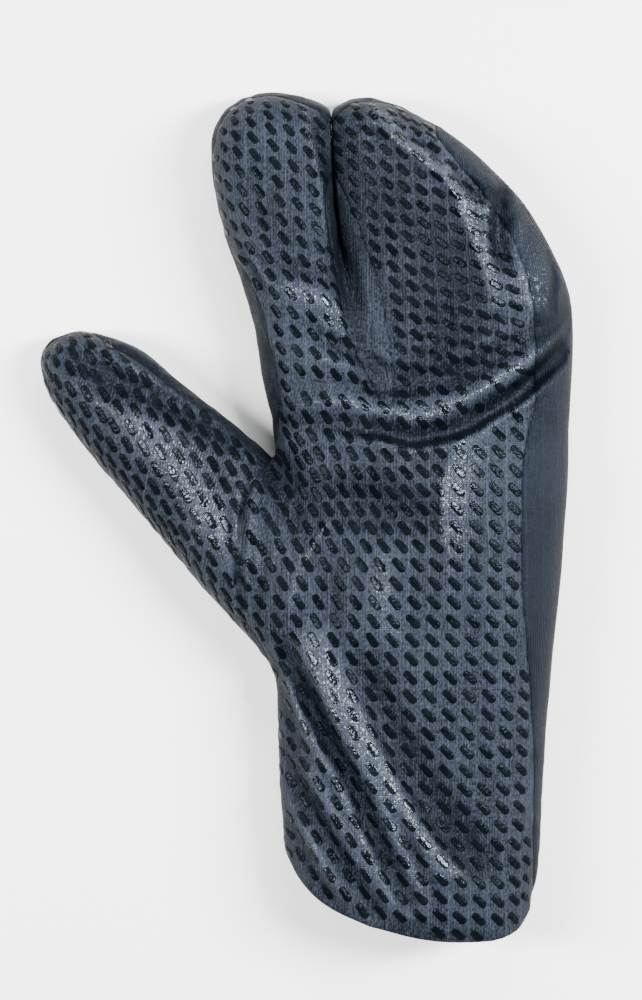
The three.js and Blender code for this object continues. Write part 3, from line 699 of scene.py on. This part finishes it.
def cloth_places(points, chart):
    """Where each point of the skin lies in its fabric: across the wales, and along them."""
    x, y, z = points.T
    at = (y - CUFF_Y) / LENGTH

    def middle_of(rows):
        return (column(rows, 1, at) + column(rows, 2, at)) / 2 * WIDTH + CUFF_X

    above_fork = y > CUFF_Y + PARTING[0][0] * LENGTH
    lobe_middle = np.where(x < parting_x(y), middle_of(FORE_LOBE), middle_of(REAR_LOBE))
    middle = np.where(above_fork, lobe_middle, middle_of(BODY))
    across = middle + chart.read(chart.over_x, x, y) - chart.read(chart.over_x, middle, y)
    side = np.sign(x - middle)
    on_thumb = in_thumb(points) > 0
    thumb_across = (x - CUFF_X - THUMB_ROOT[0]) + (y - CUFF_Y - THUMB_ROOT[1])
    side = np.where(on_thumb, np.sign(thumb_across), side)
    turned = x * math.cos(THUMB_LEAN) - y * math.sin(THUMB_LEAN)
    turned_along = y * math.cos(THUMB_LEAN) + x * math.sin(THUMB_LEAN)
    down_wall = side * np.maximum(0, WALL_TOP - z)
    return np.column_stack([
        np.where(on_thumb, turned, across) + down_wall,
        np.where(on_thumb, turned_along, y),
        np.zeros(len(points)),
    ])


# The panels cut from the skin


def corners_of(mesh):
    """The corner numbers of each face, its last one repeated where it has three."""
    table = np.zeros((len(mesh.polygons), 4), dtype=int)
    for number, polygon in enumerate(mesh.polygons):
        corners = list(polygon.vertices)
        table[number] = (corners + corners[-1:])[:4]
    return table


def shape_skin():
    """The whole outer skin, creased and sewn, with the panel number of each face, -1 past the rim."""
    skin = filled_form()
    points = points_of(skin)
    shut_slot(points)
    press_creases(points)
    set_points(skin, points)
    normals = normals_of(skin)
    corners = corners_of(skin)
    centres = points[corners].mean(axis=1)
    numbers = np.where(in_rim(centres) > 0, panel_of(centres), -1)
    meets = np.zeros((len(points), BACK + 2), dtype=bool)  # its last column is for what is past the rim
    for corner in range(4):
        meets[corners[:, corner], numbers] = True
    thumb = meets[:, THUMB_FRONT] | meets[:, THUMB_BACK]
    hand = meets[:, GUSSET] | meets[:, PALM] | meets[:, BACK]
    edges = (
        (meets[:, -1] & (thumb | hand), in_rim),
        (thumb & hand, in_thumb),
        (meets[:, THUMB_FRONT] & meets[:, THUMB_BACK] & ~hand, in_thumb_front),
        (meets[:, GUSSET] & (meets[:, PALM] | meets[:, BACK]) & ~thumb, in_gusset),
        (meets[:, PALM] & meets[:, BACK] & ~meets[:, GUSSET] & ~thumb, in_palm),
    )
    for chosen, inside in edges:
        onto_edge(points, normals, np.flatnonzero(chosen), inside)
    sew(points, normals)
    set_points(skin, points)
    return skin, numbers


def without_faces(mesh, dropped):
    bm = bmesh.new()
    bm.from_mesh(mesh)
    bm.faces.ensure_lookup_table()
    bmesh.ops.delete(bm, geom=[bm.faces[k] for k in np.flatnonzero(dropped)], context="FACES")
    return bm


def tree_of(skin, numbers):
    """What rays are cast on: the skin up to the rim."""
    bm = without_faces(skin, numbers < 0)
    tree = BVHTree.FromBMesh(bm)
    bm.free()
    return tree


def cut_panel(name, skin, numbers, wanted):
    mesh = mesh_of(without_faces(skin, numbers != wanted), name)
    shade_smooth(mesh)
    return add_object(name, mesh)


# Raised grip dashes

DASH_LENGTH, DASH_WIDTH = 5.9 * MM, 2.65 * MM
DASH_HEIGHT = 0.26 * MM
DASH_FOOT = -0.25 * MM  # its foot lies this far under the skin
DASH_CLEAR = 0.8 * MM  # between a dash's middle and a seam
DASH_APART = 4.6 * MM
DASH_BEND = 1.5 * MM  # a dash is left out where the skin falls away from it by more
FORK_ROW = 388  # picture row of the fork between the lobes
# Prints. name, panel, origin in picture pixels, one step across and one up the fabric in pixels,
# lean of the dashes to the left in degrees at its left and right, where that changes, size
PRINTS = (
    ("palm", PALM, (431, 600), (19.6, 0.0), (0.8, 18.4), (32, 45), (330, 430), 1.0),
    ("fore", PALM, (300, 372), (17.9, -2.6), (-2.2, 18.6), (35, 39), (220, 320), 0.92),
    ("rear", PALM, (418, 370), (17.2, -3.2), (-1.4, 16.4), (44, 66), (360, 540), 0.92),
    ("thumb", THUMB_FRONT, (160, 470), (17.4, -4.0), (4.0, 17.4), (29, 31), (0, 300), 1.08),
)
# Where the palm's fabric is gathered towards the thumb's crotch, in picture pixels, and by what share
GATHER_EDGE, GATHER_ROW, GATHER_SPREAD, GATHER_SHARE = 436, 500, 62, 0.2
PRINT_REACH = 26  # steps each way from a print's origin
DASH_SIDE = 0.55  # share of a dash's height that is upright
DASH_ROUNDING = ((0.12, 0.28), (0.3, 0.17))  # inset as a share of its width, lift of its height
PROBE_RISE, PROBE_REACH = 2.5, 6  # millimetres, of the rays that find the skin under a dash


def dash_template():
    """One dash lying along y: a rounded bar with a softened top and no underside."""
    bm = bmesh.new()
    bmesh.ops.create_circle(bm, cap_ends=True, segments=12, radius=DASH_WIDTH / 2)
    stretch = (DASH_LENGTH - DASH_WIDTH) / 2
    for corner in bm.verts:
        corner.co.y += stretch if corner.co.y > 0 else -stretch
    long_edges = [edge for edge in bm.edges if edge.calc_length() > stretch]
    bmesh.ops.subdivide_edges(bm, edges=long_edges, cuts=2)
    face = list(bm.faces)
    raised = bmesh.ops.extrude_face_region(bm, geom=face)["geom"]
    bmesh.ops.delete(bm, geom=face, context="FACES_ONLY")
    for part in raised:
        if isinstance(part, bmesh.types.BMVert):
            part.co.z += DASH_SIDE * DASH_HEIGHT - DASH_FOOT
    top = [part for part in raised if isinstance(part, bmesh.types.BMFace)]
    for inset, lift in DASH_ROUNDING:
        bmesh.ops.inset_region(bm, faces=top, thickness=inset * DASH_WIDTH, depth=lift * DASH_HEIGHT)
    for corner in bm.verts:
        corner.co.z += DASH_FOOT
    bmesh.ops.recalc_face_normals(bm, faces=bm.faces)
    return mesh_of(bm, "dash")


def dash_places(chart, taken, print_row):
    """Places and directions of one print's dashes."""
    name, panel, origin, step_across, step_up, tilts, turn_at, size = print_row
    count = np.arange(-PRINT_REACH, PRINT_REACH + 1)
    i, j = (table.ravel() for table in np.meshgrid(count, count))
    wanted = (i[:, None] * np.array(step_across) + j[:, None] * np.array(step_up)) * PIXEL
    x, y = chart.places((across_of(origin[0]), along_of(origin[1])), wanted)
    if name == "palm":
        gathered = GATHER_SHARE * np.exp(-(((y - along_of(GATHER_ROW)) / (GATHER_SPREAD * PIXEL)) ** 2))
        x = np.where(x < across_of(GATHER_EDGE), x + gathered * (across_of(GATHER_EDGE) - x), x)
    z = chart.read(chart.height, x, y)
    points = np.column_stack([x, y, z])
    clear = np.minimum(seam_distance(points), in_rim(points)) > DASH_CLEAR
    kept = (panel_of(points) == panel) & clear
    fork = along_of(FORK_ROW)
    if name == "palm":
        kept &= y < fork
    elif name != "thumb":
        kept &= (y >= fork) & ((x < parting_x(y)) == (name == "fore"))
    turned = smooth(x, *(across_of(place) for place in turn_at))
    lean = tilts[0] + (tilts[1] - tilts[0]) * turned
    found = []
    for k in np.flatnonzero(kept):
        near = any(math.hypot(x[k] - a, y[k] - b) < DASH_APART for a, b in taken)
        if not near:
            found.append((x[k], y[k], math.radians(lean[k]), size))
    taken += [place[:2] for place in found]
    return found


def grip_dashes(skin_tree, chart):
    """All dashes as one piece, each bent onto the skin under it."""
    template = dash_template()
    shape = points_of(template)
    places, taken = [], []
    for print_row in PRINTS:
        places += dash_places(chart, taken, print_row)
    bm = bmesh.new()
    for x, y, tilt, size in places:
        first = len(bm.verts)
        slope_x = float(chart.read(chart.slope_x, x, y))
        slope_y = float(chart.read(chart.slope_y, x, y))
        up = Vector((-slope_x, -slope_y, 1)).normalized()
        ahead = Vector((-math.sin(tilt), math.cos(tilt), 0))
        ahead.z = slope_x * ahead.x + slope_y * ahead.y
        ahead.normalize()
        aside = ahead.cross(up)
        hit = skin_tree.ray_cast(Vector((x, y, SKY)), DOWN)[0]
        if hit is None:
            continue
        moved = []
        for across, along, height in shape:
            above = hit + (ahead * along + aside * across) * size
            under = skin_tree.ray_cast(above + up * PROBE_RISE * MM, -up, PROBE_REACH * MM)[0]
            if under is None or (above - under).length > DASH_BEND:
                break
            moved.append(under + up * height)
        if len(moved) < len(shape):
            continue
        bm.from_mesh(template)
        bm.verts.ensure_lookup_table()
        for corner, place in zip(bm.verts[first:], moved):
            corner.co = place
    mesh = mesh_of(bm, "grip_dashes")
    mark_painted_light(mesh)
    shade_smooth(mesh)
    bpy.data.meshes.remove(template)
    return add_object("grip_dashes", mesh)


# Materials

# The knit: widths of its ribs, courses and ladder lines, the lean of a course, how thin a ladder line is
RIB, COURSE, LADDER = 0.96 * MM, 0.8 * MM, 2 * WALL_TOP / 7
COURSE_LEAN, LADDER_THIN = 0.3, 90.0
# Its noises, in features per metre. Streaks and grain are drawn out along the wales.
HEATHER, PATCHES, SPECKLES = 520.0, 28.0, 850.0
STREAKS, GRAIN = (1400, 90, 1), (1700, 850, 1)
# What each part adds to its tone. A noise: its low and high value, and the tone at each.
# PAINTED_LIGHT_TONE: how strongly painted highlight on ridges and painted shade in creases and on walls
# enter the tone
RIB_TONE, LADDER_TONE, PAINTED_LIGHT_TONE = 0.16, 0.35, 0.6
HEATHER_TONE, STREAK_TONE = (0.3, 0.7, 0.14, 0.34), (0.35, 0.65, -0.1, 0.22)
PATCH_TONE, GRAIN_TONE = (0.35, 0.65, -0.1, 0.16), (0.3, 0.7, -0.4, 0.46)
LIGHTEST = 1.7
# What each part adds to its relief
LOOP_RELIEF, RIB_RELIEF, LADDER_RELIEF, HEATHER_RELIEF, GRAIN_RELIEF = 0.45, 0.6, 0.5, 0.7, 2.4
KNIT_BUMP = {"Strength": 0.6, "Distance": 0.22 * MM}
# Its roughness, and its sheen in specks
GRAIN_VALUES, GRAIN_ROUGHNESS = (0.3, 0.7), 0.2
KNIT_SPECULAR, KNIT_TINT = 0.06, (0.9, 0.95, 1.0, 1)
SPECKS, SHEEN, SHEEN_ROUGHNESS = (0.5, 0.62, 0.1, 1.0), (0.03, 0.6, 0.015), 0.22
# The silicone
GRIP_DARK, GRIP_LIGHT = (0.0013, 0.0018, 0.0026, 1), (0.0026, 0.0034, 0.0047, 1)
GRIP_PATCHES, GRIP_SPECKLES = 120.0, 950.0
GRIP_COLOUR, GRIP_GLOSS = (0.35, 0.65), (0.3, 0.7, 0.13, 0.24)
GRIP_SPECULAR, GRIP_TINT = (0.12, 0.7, 0.025, 0.34), (0.8, 0.9, 1.0, 1)
GRIP_BUMP = {"Strength": 1.0, "Distance": 0.34 * MM}


class Nodes:
    """Short ways to add and join the nodes of one material."""

    def __init__(self, name):
        self.material = bpy.data.materials.new(name)
        self.material.use_nodes = True
        self.tree = self.material.node_tree
        self.shader = self.tree.nodes["Principled BSDF"]

    def add(self, kind, settings=(), **inputs):
        node = self.tree.nodes.new(kind)
        for name, value in dict(settings).items():
            setattr(node, name, value)
        for name, value in inputs.items():
            self.join(value, node.inputs[name.replace("_", " ")])
        return node

    def join(self, value, socket):
        if isinstance(value, bpy.types.NodeSocket):
            self.tree.links.new(value, socket)
        else:
            socket.default_value = value

    def sum(self, operation, first, second=0.5, third=0.5):
        node = self.tree.nodes.new("ShaderNodeMath")
        node.operation = operation
        for value, socket in zip((first, second, third), node.inputs):
            self.join(value, socket)
        return node.outputs[0]

    def wave(self, value, length):
        """A smooth wave from 0 to 1 that repeats every length."""
        turn = self.sum("MULTIPLY", value, 2 * math.pi / length)
        return self.sum("MULTIPLY_ADD", self.sum("COSINE", turn), 0.5, 0.5)

    def noise(self, vector, scale, detail=2.0):
        node = self.add("ShaderNodeTexNoise", Vector=vector, Scale=scale, Detail=detail)
        return node.outputs["Fac"]

    def ramp(self, value, low, high, start=0.0, end=1.0):
        node = self.add("ShaderNodeMapRange", Value=value)
        for name, number in (("From Min", low), ("From Max", high), ("To Min", start), ("To Max", end)):
            node.inputs[name].default_value = number
        return node.outputs[0]

    def mix(self, share, first, second):
        node = self.tree.nodes.new("ShaderNodeMix")
        node.data_type = "RGBA"
        self.join(share, node.inputs[0])
        self.join(first, node.inputs[6])
        self.join(second, node.inputs[7])
        return node.outputs[2]

    def attribute(self, name, output):
        return self.add("ShaderNodeAttribute", {"attribute_name": name}).outputs[output]

    def drawn_noise(self, vector, scales, detail):
        """Noise with a scale of its own along each axis."""
        node = self.add("ShaderNodeVectorMath", {"operation": "MULTIPLY"})
        self.join(vector, node.inputs[0])
        node.inputs[1].default_value = scales
        return self.noise(node.outputs[0], 1.0, detail)

    def shade(self, **values):
        """Joins values to the shader's sockets."""
        for name, value in values.items():
            self.join(value, self.shader.inputs[name.replace("_", " ")])


def knit(name, dark, light, smoothest, sheen):
    """Fine ribbed stretch knit with painted highlight on ridges, painted shade in creases and on walls, and
    sheen in specks.
    """
    nodes = Nodes(name)
    place = nodes.attribute("cloth", "Vector")
    painted_light = nodes.attribute("painted_light", "Fac")
    parts = nodes.add("ShaderNodeSeparateXYZ", Vector=place)
    across, along = parts.outputs[0], parts.outputs[1]
    solid = nodes.add("ShaderNodeTexCoord").outputs["Object"]
    rib = nodes.wave(across, RIB)
    leaning = nodes.sum("ADD", along, nodes.sum("MULTIPLY", rib, COURSE_LEAN * COURSE))
    loops = nodes.sum("MULTIPLY", rib, nodes.wave(leaning, COURSE))
    ladder = nodes.sum("POWER", nodes.wave(across, LADDER), LADDER_THIN)
    heather = nodes.noise(solid, HEATHER, 3.0)
    patch = nodes.noise(solid, PATCHES)
    streak = nodes.drawn_noise(place, STREAKS, 2.0)
    grain = nodes.drawn_noise(place, GRAIN, 1.5)
    tone = nodes.sum("MULTIPLY_ADD", rib, RIB_TONE, nodes.ramp(heather, *HEATHER_TONE))
    tone = nodes.sum("ADD", tone, nodes.ramp(streak, *STREAK_TONE))
    tone = nodes.sum("ADD", tone, nodes.ramp(patch, *PATCH_TONE))
    tone = nodes.sum("MULTIPLY_ADD", ladder, LADDER_TONE, tone)
    tone = nodes.sum("ADD", tone, nodes.ramp(grain, *GRAIN_TONE))
    # painted light: ridges lighter as highlight, creases and upright walls darker as shade
    tone = nodes.sum("MULTIPLY_ADD", painted_light, PAINTED_LIGHT_TONE, tone)
    height = nodes.sum("MULTIPLY_ADD", loops, LOOP_RELIEF, nodes.sum("MULTIPLY", rib, RIB_RELIEF))
    for part, share in ((heather, HEATHER_RELIEF), (grain, GRAIN_RELIEF), (ladder, LADDER_RELIEF)):
        height = nodes.sum("MULTIPLY_ADD", part, share, height)
    bump = nodes.add("ShaderNodeBump", Height=height, **KNIT_BUMP).outputs[0]
    nodes.shade(
        Base_Color=nodes.mix(nodes.ramp(tone, 0.0, LIGHTEST), (*dark, 1), (*light, 1)),
        Normal=bump,
        Roughness=nodes.ramp(grain, *GRAIN_VALUES, smoothest, smoothest + GRAIN_ROUGHNESS),
        Specular_IOR_Level=KNIT_SPECULAR,
        Specular_Tint=KNIT_TINT,
        Coat_Weight=nodes.sum(
            "MULTIPLY", nodes.ramp(painted_light, *SHEEN, sheen), nodes.ramp(nodes.noise(solid, SPECKLES), *SPECKS)
        ),
        Coat_Roughness=SHEEN_ROUGHNESS,
        Coat_Normal=bump,
    )
    return nodes.material


def silicone():
    """Dark silicone that glints in specks, more strongly on ridges."""
    nodes = Nodes("silicone_grip")
    solid = nodes.add("ShaderNodeTexCoord").outputs["Object"]
    patch = nodes.noise(solid, GRIP_PATCHES)
    speck = nodes.noise(solid, GRIP_SPECKLES)
    nodes.shade(
        Base_Color=nodes.mix(nodes.ramp(patch, *GRIP_COLOUR), GRIP_DARK, GRIP_LIGHT),
        Normal=nodes.add("ShaderNodeBump", Height=speck, **GRIP_BUMP).outputs[0],
        Roughness=nodes.ramp(patch, *GRIP_GLOSS),
        Specular_IOR_Level=nodes.ramp(nodes.attribute("painted_light", "Fac"), *GRIP_SPECULAR),
        Specular_Tint=GRIP_TINT,
    )
    return nodes.material


# Making the mitt

skin, numbers = shape_skin()
skin_tree = tree_of(skin, numbers)
chart = Chart(skin_tree)
cloth = skin.attributes.new("cloth", "FLOAT_VECTOR", "POINT")
cloth.data.foreach_set("vector", cloth_places(points_of(skin), chart).ravel())
mark_painted_light(skin)
# Knits: name, dark and light colour, least roughness, sheen
printed, plain, gusset_knit_painted_lighter = (knit(*row) for row in (
    ("printed_knit", (0.0021, 0.0030, 0.0047), (0.0368, 0.0434, 0.0584), 0.44, 0.85),
    ("plain_knit", (0.0011, 0.0016, 0.0029), (0.0096, 0.0130, 0.0208), 0.48, 0.3),
    # The gusset's knit is the plain knit painted lighter: painted light, as if the gusset strip were lit
    ("gusset_knit_painted_lighter", (0.0019, 0.0027, 0.0042), (0.0340, 0.0400, 0.0540), 0.46, 0.5),
))
# Panels: piece, panel, the node it replaces, material, slot, flat size in metres
PANELS = (
    ("thumb_front_cloth", THUMB_FRONT, "thumb_front_panel", printed, "printed_fabric", (0.06, 0.15)),
    ("thumb_back_cloth", THUMB_BACK, "thumb_back_panel", plain, "plain_fabric", (0.09, 0.16)),
    ("lobe_gusset_cloth", GUSSET, "lobe_gusset", gusset_knit_painted_lighter, "plain_fabric", (0.05, 0.09)),
    ("palm_cloth", PALM, "palm_panel", printed, "printed_fabric", (0.14, 0.30)),
    ("back_cloth", BACK, "back_panel", plain, "plain_fabric", (0.18, 0.31)),
)
for name, number, node, material, slot, flat in PANELS:
    panel = cut_panel(name, skin, numbers, number)
    panel.data.materials.append(material)
    thick = panel.modifiers.new("fabric", "SOLIDIFY")
    thick.thickness = FABRIC
    thick.offset = -1
    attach(panel, "root")
    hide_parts(node)
dashes = grip_dashes(skin_tree, chart)
dashes.data.materials.append(silicone())
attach(dashes, "root")
bpy.data.meshes.remove(skin)

# Camera, floor and light

LENS = 100.0  # millimetres of focal length
SENSOR = 36.0
OUTLINE_LEVEL = 14 * MM  # height that the picture shows at its true scale
FLOOR_REACH = 3.0
FLOOR_COLOUR, FLOOR_ROUGHNESS = (0.90, 0.85, 0.80, 1), 0.8
ROOM_COLOUR, ROOM_STRENGTH = (0.86, 0.93, 1.0, 1), 0.2
LAMP_COLOUR = (0.88, 0.94, 1.0)
# Softboxes turned towards the mitt: name, place, size, watts
SOFTBOXES = (
    ("left_box", (-0.75, 0.0, 0.78), (0.2, 0.6), 42),
    ("right_box", (0.72, 0.15, 0.78), (0.18, 0.6), 56),
    ("far_box", (0.1, 0.9, 0.75), (0.6, 0.2), 16),
)


def photo_camera():
    data = bpy.data.cameras.new("camera")
    camera = add_object("camera", data)
    data.lens = LENS
    data.sensor_width = SENSOR
    distance = PICTURE_HEIGHT * PIXEL / 2 / (SENSOR / 2 / LENS)
    middle = (across_of(PICTURE_WIDTH / 2), along_of(PICTURE_HEIGHT / 2))
    camera.location = (*middle, OUTLINE_LEVEL + distance)
    camera.rotation_euler = (0, 0, 0)
    bpy.context.scene.camera = camera


def softbox(name, place, size, power):
    data = bpy.data.lights.new(name, "AREA")
    data.shape = "RECTANGLE"
    data.size, data.size_y = size
    data.energy = power
    data.color = LAMP_COLOUR
    lamp = add_object(name, data)
    lamp.location = place
    lamp.rotation_euler = (-Vector(place)).to_track_quat("-Z", "Y").to_euler()


def studio():
    bm = bmesh.new()
    bmesh.ops.create_grid(bm, x_segments=1, y_segments=1, size=FLOOR_REACH)
    floor = add_object("floor", mesh_of(bm, "floor"))
    pale = Nodes("pale_floor")
    pale.shade(Base_Color=FLOOR_COLOUR, Roughness=FLOOR_ROUGHNESS)
    floor.data.materials.append(pale.material)
    world = bpy.data.worlds.new("studio")
    bpy.context.scene.world = world
    world.use_nodes = True
    background = world.node_tree.nodes["Background"]
    background.inputs["Color"].default_value = ROOM_COLOUR
    background.inputs["Strength"].default_value = ROOM_STRENGTH
    for box in SOFTBOXES:
        softbox(*box)


photo_camera()
studio()
